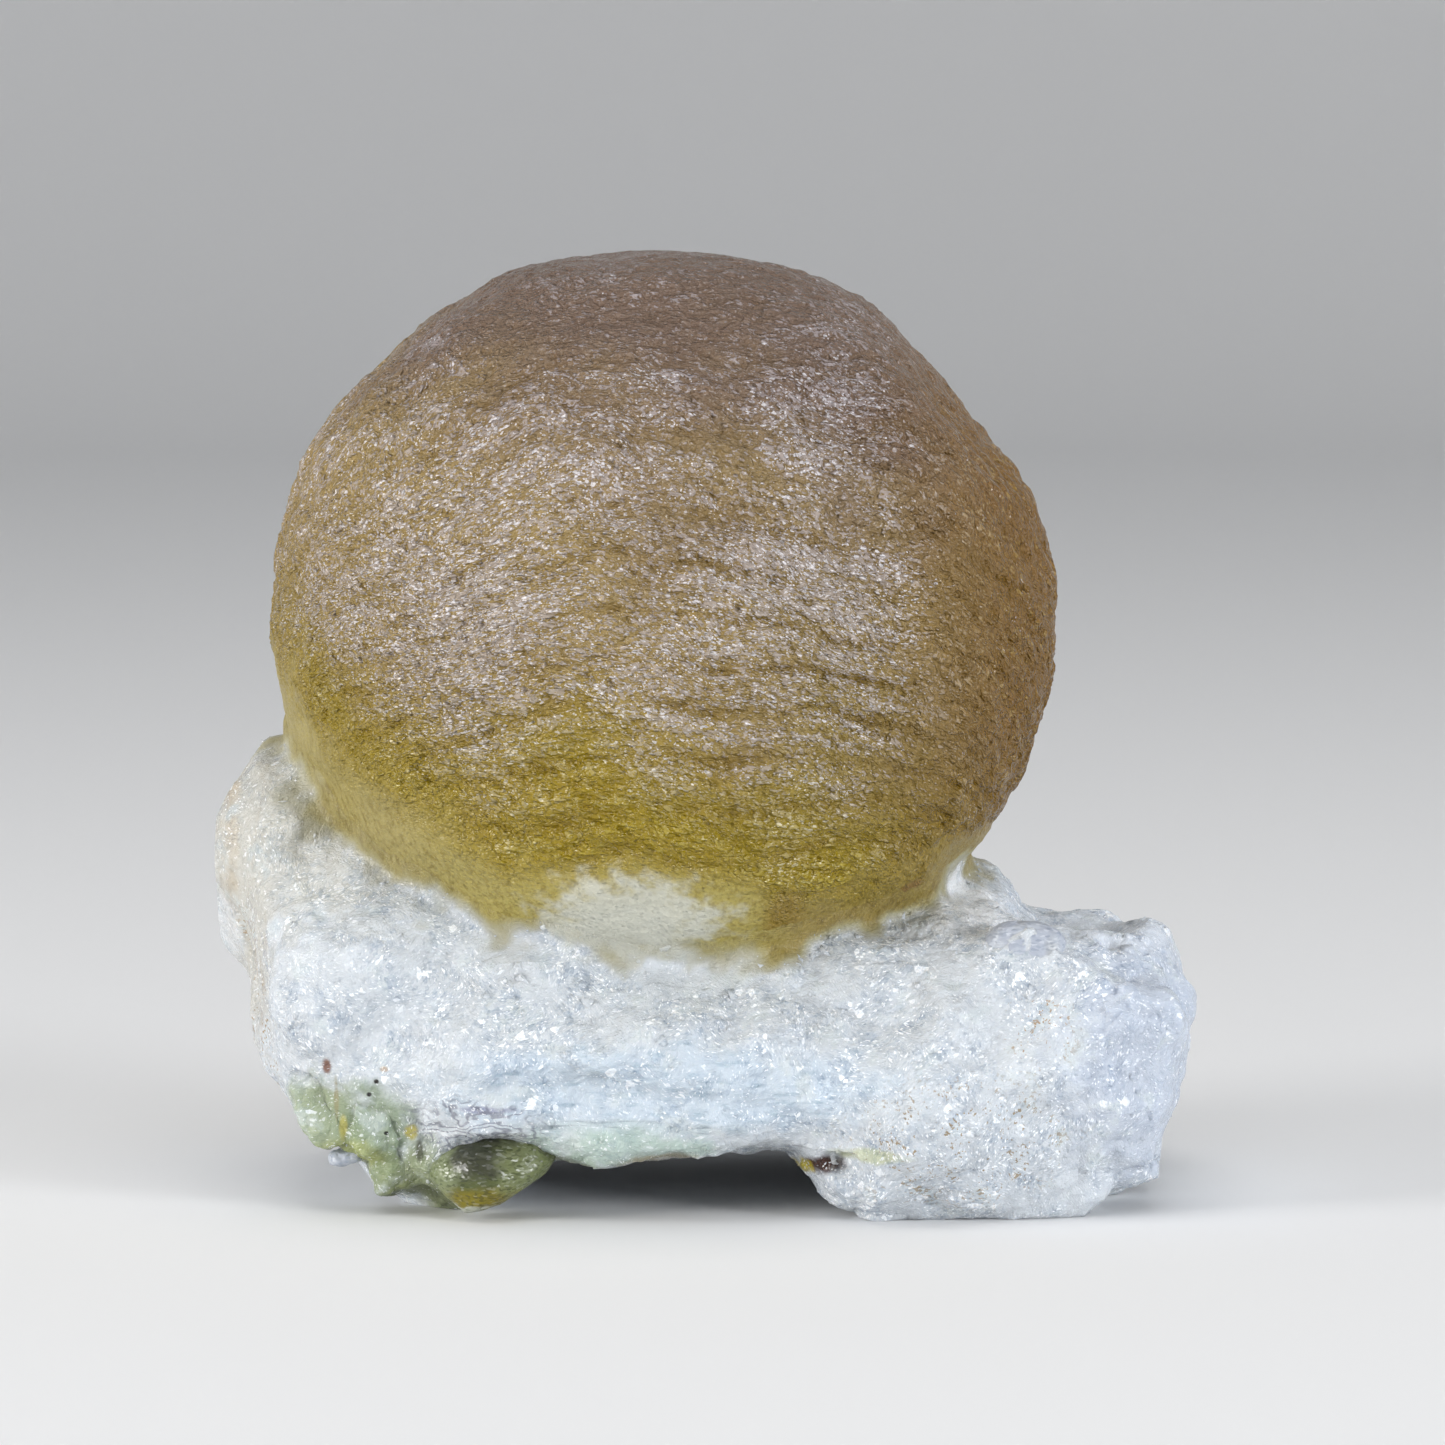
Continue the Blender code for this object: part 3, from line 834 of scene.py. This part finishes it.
quartzLook = {
    "body": (205, 210, 215),
    "grey": (198, 203, 208),
    "glint": (250, 252, 255),
    "shade": (232, 236, 241),  # painted shade: multiplies the colour of the faces painted dark
    "faces": [  # cells a millimetre, share painted as glints, share painted in shade
        (2.9, 0.013, 0.26),
        (4.8, 0.026, 0.28),
        (10.5, 0.060, 0.30),
    ],
    "whiter": (200, 208, 208),  # cloudy patches
    "folds": [2.2, 5.5],  # fine creases: how many a millimetre
    "foldDepth": 0.00003,
    "rough": (0.20, 0.42),  # on the druse and on the film over the globe
    "refraction": 1.544,
    "scatterReach": 0.0006,
    "drawn": 1.5,  # the faces are slivers, each drawn out its own way
    "smooth": [  # places with fewer broken faces: place, reach, share taken away
        ((-18.2, -2.5, 12.0), (2.0, 7.0, 6.5), 0.35),
        ((17.6, -7.0, 6.0), (2.2, 8.0, 5.0), 0.55),
        ((-13.3, -9.0, 3.2), (3.2, 4.0, 3.2), 0.60),
        ((-3.0, -11.0, 2.9), (5.0, 3.0, 1.1), 0.50),
        ((-2.0, -12.0, 5.4), (8.0, 5.0, 1.9), 0.25),
    ],
    "tonePatches": [  # place, reach, tone, strength: stains, and painted light where marked
        ((-17.0, -2.0, 13.5), (5.0, 6.0, 6.0), (186, 184, 175), 0.70),
        ((17.0, -7.0, 6.5), (3.6, 9.0, 5.5), (182, 191, 207), 0.65),
        ((10.2, -3.6, 11.8), (2.9, 4.0, 2.1), (236, 237, 238), 0.85),
        # painted light: brightens the right block's top, which lies in shade
        ((15.0, 0.5, 10.8), (4.6, 9.0, 1.2), (228, 234, 242), 0.65),
        # painted light: brightens the shaded hollows between the wing and the globe
        ((-15.2, -3.6, 13.2), (2.3, 5.0, 4.2), (214, 215, 212), 0.75),
        ((-16.5, -3.0, 15.3), (1.1, 5.0, 2.0), (224, 223, 216), 0.60),
        ((-15.2, -9.0, 3.7), (1.9, 3.4, 1.9), (148, 160, 122), 0.85),
        ((-13.0, -9.3, 3.2), (1.7, 2.8, 2.3), (134, 150, 118), 0.82),
        ((-12.0, -8.4, 1.6), (1.9, 2.4, 1.3), (134, 146, 106), 0.80),
        ((-10.6, -8.4, 0.8), (2.8, 3.8, 1.2), (132, 140, 94), 0.90),
        ((-5.4, -9.8, 2.3), (1.3, 2.6, 0.5), (124, 132, 92), 0.70),
        ((-11.1, -9.6, 2.1), (0.9, 3.0, 1.4), (148, 157, 126), 0.70),
        ((-14.2, -9.0, 2.4), (1.4, 3.0, 0.7), (160, 162, 80), 0.55),
        ((-3.6, -10.8, 2.9), (4.4, 2.0, 0.8), (174, 193, 182), 0.80),
        ((-18.9, -1.5, 13.6), (0.5, 2.4, 3.6), (184, 164, 132), 0.50),
        ((-19.3, -1.5, 10.3), (0.8, 3.0, 1.9), (214, 218, 222), 0.70),
        ((-14.55, -9.2, 4.7), (0.10, 3.0, 1.0), (150, 134, 84), 0.50),
        ((-14.3, -9.2, 3.5), (0.18, 3.0, 0.5), (186, 176, 80), 0.70),
        ((-11.6, -9.6, 3.4), (0.28, 3.0, 0.34), (180, 166, 56), 0.75),
        ((-11.3, -9.6, 2.7), (0.16, 3.0, 0.5), (60, 62, 40), 0.75),
        ((-8.6, -10.9, 4.5), (1.1, 3.0, 0.16), (116, 116, 148), 0.60),
        ((4.5, -11.0, 2.3), (0.80, 4.0, 0.40), (56, 24, 8), 1.0),
        ((3.5, -11.0, 2.0), (0.50, 4.0, 0.40), (196, 176, 20), 0.9),
        ((6.2, -11.4, 2.8), (1.5, 3.0, 0.30), (196, 200, 144), 0.55),
        ((-1.6, -9.8, 2.4), (2.2, 2.0, 0.4), (150, 134, 100), 0.7),
        ((16.9, 0.8, 10.9), (0.32, 2.6, 0.55), (60, 72, 76), 0.9),
    ],
    "dots": [  # black and brown dots on the green ledge
        ((-12.95, -9.5, 5.45), (0.11, 2.0, 0.10), (24, 20, 14), 1.0),
        ((-13.25, -9.5, 4.90), (0.11, 2.0, 0.10), (24, 20, 14), 1.0),
        ((-12.60, -9.3, 3.35), (0.10, 2.0, 0.09), (24, 20, 14), 1.0),
        ((-14.90, -9.3, 6.00), (0.20, 2.0, 0.34), (116, 66, 40), 0.9),
        ((-12.65, -9.6, 5.95), (0.20, 2.0, 0.14), (164, 130, 84), 0.6),
    ],
    "specks": [  # place, reach, share, tone: dark grains sown in a patch
        ((9.8, -12.0, 3.2), (5.0, 4.0, 2.9), 0.12, (154, 138, 112)),
        ((-17.4, -3.0, 8.0), (2.0, 4.0, 5.0), 0.11, (150, 128, 92)),
        ((12.8, -11.0, 7.6), (1.6, 3.0, 1.6), 0.09, (164, 142, 116)),
    ],
    "streaks": [  # place, reach, how fine across and along, two tones, strength
        ((-2.0, -12.0, 5.4), (9.5, 6.0, 1.9), (1.0, 1.2, 5.2), (195, 207, 218), (168, 186, 200), 0.85),
        ((-3.5, -11.0, 3.75), (4.2, 3.0, 0.40), (0.5, 0.8, 5.0), (190, 202, 204), (130, 142, 146), 0.75),
        ((-18.2, -2.5, 12.0), (1.7, 7.0, 7.0), (2.4, 1.0, 0.40), (198, 195, 187), (168, 150, 120), 0.68),
    ],
    "curls": ((-9.2, -10.8, 3.7), (2.9, 3.5, 1.3)),  # grey curls over the lens: place and reach
    "curlTone": (122, 124, 136),
}


def quartzBody(place, cloud, wander):
    look = quartzLook
    base = mixTones(rampNode(cloud, 0.34, 0.60), look["grey"], look["body"])
    for middle, reach, stretch, plain, dark, strength in look["streaks"]:
        lines = noiseNode(vectorNode("MULTIPLY", place, stretch), 1.0, 4.0)
        tone = mixTones(rampNode(lines, 0.50, 0.68), plain, dark)
        base = mixTones(nearTo(place, wander, middle, reach, strength), base, tone)
    for tonePatch in look["tonePatches"]:
        base = addTonePatch(place, wander, base, tonePatch)
    base = mixTones(rampNode(cloud, 0.54, 0.68, 0.45), base, look["whiter"])
    for dot in look["dots"]:
        base = addTonePatch(place, times(wander, 0.6), base, dot)
    return base


def addCurls(place, wander, base):
    # thin grey layers that curl over the lens
    height = axisOf(place, "Z")
    cloud = noiseNode(vectorNode("MULTIPLY", place, (0.55, 0.6, 1.0)), 1.1, 2.5)
    curls = plus(times(cloud, 9.0), times(height, 1.7))
    curls = rampNode(mathNode("PINGPONG", curls, 0.5), 0.30, 0.05)
    curls = times(curls, nearTo(place, wander, *quartzLook["curls"], 0.75))
    return mixTones(curls, base, quartzLook["curlTone"])


def slivers(place):
    # the place, drawn out another way in each cell
    ways = vectorNode("SUBTRACT", cellNode(place, 1.2), (0.5, 0.5, 0.5))
    ways = vectorNode("NORMALIZE", ways)
    along = addNode("ShaderNodeVectorMath", {0: place, 1: ways},
                    operation="DOT_PRODUCT").outputs["Value"]
    along = times(along, quartzLook["drawn"])
    return vectorNode("ADD", place, vectorNode("SCALE", ways, along))


def brokenShare(place, wander):
    share = rampNode(noiseNode(place, 0.6, 3.0), 0.34, 0.62)
    for middle, reach, taken in quartzLook["smooth"]:
        less = nearTo(place, wander, middle, reach, taken)
        share = times(share, mathNode("SUBTRACT", 1.0, less))
    return share


def addFaces(place, bent, broken, base):
    # broken faces of three sizes: each leans its own way; some are painted bright as glints and some painted
    # dark as shade
    leans = None
    patches = times(plus(broken, -0.6), 0.03)
    for spot, (count, glintShare, shadeShare) in zip((place, bent, bent), quartzLook["faces"]):
        cells = cellNode(spot, count)
        key = channelOf(cells)
        # painted shade on the dark faces
        dark = times(rampNode(key, shadeShare, 0.6 * shadeShare), broken)
        base = mixTones(dark, base, quartzLook["shade"], "MULTIPLY")
        bright = rampNode(plus(key, patches), 1.0 - glintShare, 1.0 - 0.8 * glintShare)
        bright = times(bright, plus(times(broken, 0.55), 0.35))
        base = mixTones(bright, base, quartzLook["glint"])
        leans = cells if leans is None else mixTones(0.40, leans, cells)
    return base, leans


def addSpecks(place, cloud, base):
    # dark grains, which gather where the cloud is dense
    spots = plus(noiseNode(place, 6.0, 4.0, 0.62), times(plus(cloud, -0.5), 0.5))
    for middle, reach, share, tone in quartzLook["specks"]:
        speck = rampNode(spots, 0.71 - share, 0.77 - share)
        base = mixTones(times(speck, nearTo(place, 0.0, middle, reach)), base, tone)
    return base


def makeQuartz(name, scatter, lean):
    look = quartzLook
    material, tree, shader = startMaterial(name)
    place = placeInMm(tree)
    upGlobe = fieldNode(tree, "upGlobe")
    cloud = noiseNode(place, 0.9, 5.0)
    wander = times(plus(cloud, -0.5), 1.4)
    bent = slivers(place)
    broken = brokenShare(place, wander)
    base = addCurls(place, wander, quartzBody(place, cloud, wander))
    base, leans = addFaces(place, bent, broken, base)
    base = addSpecks(place, cloud, base)
    for tone, low, high in (("milk", -1.2, -0.4), ("pale", -0.6, 0.2)):
        base = mixTones(rampNode(upGlobe, low, high), base, seam[tone])
    base = mixTones(rampNode(upGlobe, -0.2, 0.8), base, rimTone(place))
    amount = times(plus(times(broken, 0.6), 0.4), lean)
    creased = creasedNormal(foldNode(bent, look["folds"]), look["foldDepth"])
    setInputs(shader, {
        "Base Color": addVeil(place, base),
        "Normal": leanedNormal(leans, amount, most=True, normal=creased),
        "Roughness": spreadNode(rampNode(upGlobe, -0.8, 0.0), *look["rough"]),
        "IOR": look["refraction"],
        "Subsurface Weight": scatter,
        "Subsurface Radius": (0.9, 1.0, 1.1),
        "Subsurface Scale": look["scatterReach"],
    })
    return material


# Clear green and colourless pieces set in the quartz

clearPieces = {
    "ledge": {  # the green stained lobes at the lower left, grown together
        "lobes": [  # middle, half sizes, lean
            ((-15.15, -7.45, 4.25), (1.05, 1.40, 1.75), -22.0),
            ((-13.15, -8.05, 4.05), (1.00, 1.35, 1.85), -9.0),
            ((-12.15, -7.35, 1.95), (1.30, 1.35, 1.20), -20.0),
        ],
        "form": 4.6, "voxel": 0.13, "settle": 2,
        "humps": [(1.5, 0.50), (0.6, 0.20)], "bumps": [(1.4, 0.16), (0.5, 0.07)],
    },
    "lens": {  # the domed green crystal beside them
        "name": "greenLens", "middle": (-8.40, -9.1, 1.76), "half": (2.50, 1.90, 1.60), "form": 2.0,
        "lean": 0.0, "lowTip": -0.60, "sideTip": 0.50,
        "humps": [(1.5, 0.16)], "bumps": [(1.4, 0.12), (0.5, 0.03)],
    },
    "knob": {  # the clear lump at the right
        "name": "clearKnob", "middle": (12.3, -7.60, 10.0), "half": (1.70, 1.20, 1.50), "form": 2.6,
        "lean": 0.0, "humps": [(1.4, 0.24)], "bumps": [(1.2, 0.12)],
    },
    "bit": {
        "name": "clearBit", "middle": (-14.20, -7.7, 2.25), "half": (0.70, 0.60, 0.36), "form": 2.6,
        "lean": -10.0, "humps": [(0.6, 0.16)], "bumps": [(0.7, 0.08)],
    },
}

glassLook = {
    "lens": {
        # the olive tones are the stone's green, painted darker as shade for the dark seen through it
        "body": (82, 90, 42), "deep": (70, 77, 42), "clear": 0.10, "gloss": 0.05, "rough": 0.30,
        "speckle": (186, 190, 174), "glints": 0.13,
        "layers": [  # from, to (shares of its height), tone, strength
            # painted shade: the dark arc at the top
            (-0.10, 0.25, (56, 58, 42), 0.92),
            (-0.10, -0.42, (128, 116, 0), 0.92),
            # painted highlight: the pale rim along the bottom edge
            (-0.70, -0.80, (196, 200, 188), 0.85),
        ],
        "tonePatches": [
            ((-6.9, -10.0, 2.0), (1.5, 3.0, 1.5), (112, 120, 78), 0.85),
            ((-10.7, -9.6, 1.9), (1.0, 3.0, 1.5), (132, 142, 104), 0.85),
        ],
    },
    "knob": {
        "body": (184, 190, 199), "deep": (172, 178, 190), "clear": 0.10, "gloss": 0.0, "rough": 0.36,
        "speckle": (226, 230, 236), "glints": 0.22,
        "layers": [],
        "tonePatches": [
            # painted shadow: a grey crescent on the knob's right side
            ((13.4, -9.0, 10.1), (0.34, 1.5, 1.0), (150, 150, 146), 0.60),
            ((12.2, -9.4, 9.8), (0.70, 1.5, 0.65), (194, 201, 214), 0.60),
        ],
    },
}


def roughenPiece(piece, humps, bumps):
    points = readPoints(piece.data) / mm
    normals = readPoints(piece.data, "normal")
    height = np.zeros(len(points))
    for size, amount in humps:
        height += crystalField(points, size, (2.0, 9.0, size)) * amount
    for size, amount in bumps:
        height += noiseField(points, size, (size, 3.0, 8.0)) * amount
    points += normals * height[:, None]
    points[:, 2] = np.maximum(points[:, 2], 0.03)
    writePoints(piece.data, points * mm)


def makeLump(middle, half, form, lean, name, humps=(), bumps=(), lowTip=None, sideTip=0.0):
    # a ball drawn out to its half sizes; form over 2 makes it blockier, the tips draw it to points
    bpy.ops.mesh.primitive_ico_sphere_add(subdivisions=5, radius=1.0, location=(0, 0, 0))
    piece = bpy.context.object
    piece.name = piece.data.name = name
    way = readPoints(piece.data)
    way /= (np.abs(way) ** form).sum(1, keepdims=True) ** (1.0 / form)
    if lowTip is not None:
        low = np.clip(-way[:, 2], 0.0, 1.0) ** 1.5
        way[:, 0] += 0.75 * low * (lowTip - way[:, 0])
        right = np.clip(way[:, 0], 0.0, 1.0) ** 2
        way[:, 2] += sideTip * right
        way[:, 1] *= 1.0 - 0.45 * right
    writeField(piece.data, "layer", way[:, 2] - sideTip * np.clip(way[:, 0], 0.0, 1.0) ** 2)
    writePoints(piece.data, way)
    piece.scale = [side * mm for side in half]
    piece.rotation_euler = (0.0, math.radians(lean), 0.0)
    piece.location = Vector(middle) * mm
    bpy.ops.object.transform_apply(location=True, rotation=True, scale=True)
    roughenPiece(piece, humps, bumps)
    return piece


def makeLedge(lobes, form, voxel, settle, humps, bumps):
    pieces = [makeLump(middle, half, form, lean, "greenLedge") for middle, half, lean in lobes]
    piece = growTogether(pieces, voxel, settle)
    roughenPiece(piece, humps, bumps)
    writeField(piece.data, "upGlobe", np.full(len(piece.data.vertices), seam["farDown"]))
    return piece


def makeGlass(name, look):
    # see-through and glossy, stained in its depth, with painted glints; on the lens also painted shade and a
    # painted highlight
    material, tree, shader = startMaterial(name)
    place = placeInMm(tree)
    cloud = noiseNode(place, 1.1, 4.0)
    wander = times(plus(cloud, -0.5), 1.2)
    base = mixTones(rampNode(cloud, 0.62, 0.42), look["body"], look["deep"])
    layer = plus(fieldNode(tree, "layer"), times(wander, 0.6))
    for start, end, tone, strength in look["layers"]:
        base = mixTones(rampNode(layer, start, end, strength), base, tone)
    for tonePatch in look["tonePatches"]:
        base = addTonePatch(place, wander, base, tonePatch)
    cells = cellNode(vectorNode("MULTIPLY", place, (0.6, 1.0, 1.5)), 9.0)
    key = channelOf(cells)
    base = mixTones(rampNode(key, 0.50, 0.0), base, look["speckle"], "MULTIPLY")
    base = mixTones(rampNode(key, 0.86, 1.0, look["glints"]), base, quartzLook["glint"])
    setInputs(shader, {
        "Base Color": base,
        "Normal": leanedNormal(cells, 0.4),
        "Roughness": look["rough"],
        "IOR": quartzLook["refraction"],
        "Transmission Weight": look["clear"],
        "Coat Weight": look["gloss"],
        "Coat Roughness": 0.15,
    })
    return material


# Studio

studio = {
    "cameraDistance": 300.0,
    "cameraRise": 5.0,
    "aim": (0.5, 0.0, 18.6),
    "lens": 186.85,
    "lights": [  # name, way from the specimen, distance, width, height, watts, colour
        ("leftPanel", (-0.90, -0.42, 0.14), 0.42, 0.13, 0.16, 1.55, (1.0, 0.985, 0.97)),
        ("rightPanel", (0.78, -0.60, 0.15), 0.42, 0.14, 0.16, 1.35, (0.94, 0.965, 1.0)),
        ("topPanel", (0.0, -0.20, 0.97), 0.50, 0.40, 0.40, 1.15, (1.0, 1.0, 1.0)),
    ],
    "floorTone": (0.80, 0.80, 0.80, 1.0),
    "floorReach": 0.60,
    "sweepRadius": 0.30,
    "sweepSteps": 10,
    "world": (0.82, 0.84, 0.87, 1.0),
    "worldStrength": 0.38,
}


def aimAlong(thing, way):
    thing.rotation_mode = "QUATERNION"
    thing.rotation_quaternion = way.to_track_quat("-Z", "Y")


def makeCamera():
    rise = math.radians(studio["cameraRise"])
    back = Vector((0.0, -math.cos(rise), math.sin(rise)))
    aim = Vector(studio["aim"]) * mm
    bpy.ops.object.camera_add(location=aim + back * studio["cameraDistance"] * mm)
    camera = bpy.context.object
    aimAlong(camera, -back)
    camera.data.lens = studio["lens"]
    camera.data.sensor_width = 36.0
    camera.data.clip_start = 0.01
    camera.data.clip_end = 20.0
    bpy.context.scene.camera = camera


def makeLights():
    aim = Vector(studio["aim"]) * mm
    for name, way, distance, width, height, watts, colour in studio["lights"]:
        way = Vector(way).normalized()
        bpy.ops.object.light_add(type="AREA", location=aim + way * distance)
        light = bpy.context.object
        light.name = name
        aimAlong(light, -way)
        light.data.shape = "RECTANGLE"
        light.data.size = width
        light.data.size_y = height
        light.data.energy = watts
        light.data.color = colour
    world = bpy.data.worlds.new("studioWorld")
    world.use_nodes = True
    setInputs(world.node_tree.nodes["Background"], {0: studio["world"], 1: studio["worldStrength"]})
    bpy.context.scene.world = world


def makeFloor():
    # a round paper floor whose rim sweeps up, so that no edge shows from any side
    reach, curve, steps = studio["floorReach"], studio["sweepRadius"], studio["sweepSteps"]
    bpy.ops.mesh.primitive_circle_add(vertices=96, radius=reach, fill_type="NGON", location=(0, 0, 0))
    floor = bpy.context.object
    floor.name = "studioFloor"
    editAll(floor)
    bpy.ops.mesh.inset(thickness=0.02)
    bpy.ops.mesh.select_all(action="DESELECT")
    endEdit()
    for vertex in floor.data.vertices:
        vertex.select = vertex.co.length > reach - 0.001
    bpy.ops.object.mode_set(mode="EDIT")
    radius, height = reach, 0.0
    for step in range(1, steps + 1):
        turn = math.pi / 2 * step / steps
        newRadius, newHeight = reach + curve * math.sin(turn), curve * (1 - math.cos(turn))
        bpy.ops.mesh.extrude_region_move(TRANSFORM_OT_translate={"value": (0, 0, newHeight - height)})
        bpy.ops.transform.resize(value=(newRadius / radius, newRadius / radius, 1), center_override=(0, 0, 0))
        radius, height = newRadius, newHeight
    bpy.ops.mesh.extrude_region_move(TRANSFORM_OT_translate={"value": (0, 0, 0.35)})
    endEdit()
    bpy.ops.object.shade_smooth()
    material, _, shader = startMaterial("studioPaper")
    setInputs(shader, {"Base Color": studio["floorTone"], "Roughness": 0.9})
    floor.data.materials.append(material)


makeCamera()
makeLights()
makeFloor()
bpy.context.scene.view_settings.view_transform = "Standard"
print("studio ready")

quartzTree = treeOf(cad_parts["quartz_matrix"])
globePiece = makeGlobe()
roundTree = treeOf(globePiece)
crustPiece = makeCrust(lowerGlobe(globePiece), roundTree, quartzTree)
rippleGlobe(globePiece, quartzTree)
finishPiece(globePiece, "fluorite", makeFluorite(), "fluorite_ball")
print("globe ready", len(globePiece.data.polygons))

roughenCrust(crustPiece, roundTree, quartzTree)
quartz = makeQuartz("quartz", 0.5, 2.6)
finishPiece(crustPiece, "quartz", quartz, "quartz_matrix")
print("crust ready", len(crustPiece.data.polygons))

grainQuartz = makeQuartz("quartzGrain", 0.0, 0.3)
for grains in makeDruse(crustPiece):
    finishPiece(grains, "quartz", grainQuartz)
    print(grains.name, "ready", len(grains.data.polygons))

finishPiece(makeLedge(**clearPieces["ledge"]), "quartz", quartz)
glass = {kind: makeGlass("glass" + kind.capitalize(), look) for kind, look in glassLook.items()}
for kind, finish in (("lens", "lens"), ("knob", "knob"), ("bit", "knob")):
    finishPiece(makeLump(**clearPieces[kind]), "quartz", glass[finish])
print("clear pieces ready")
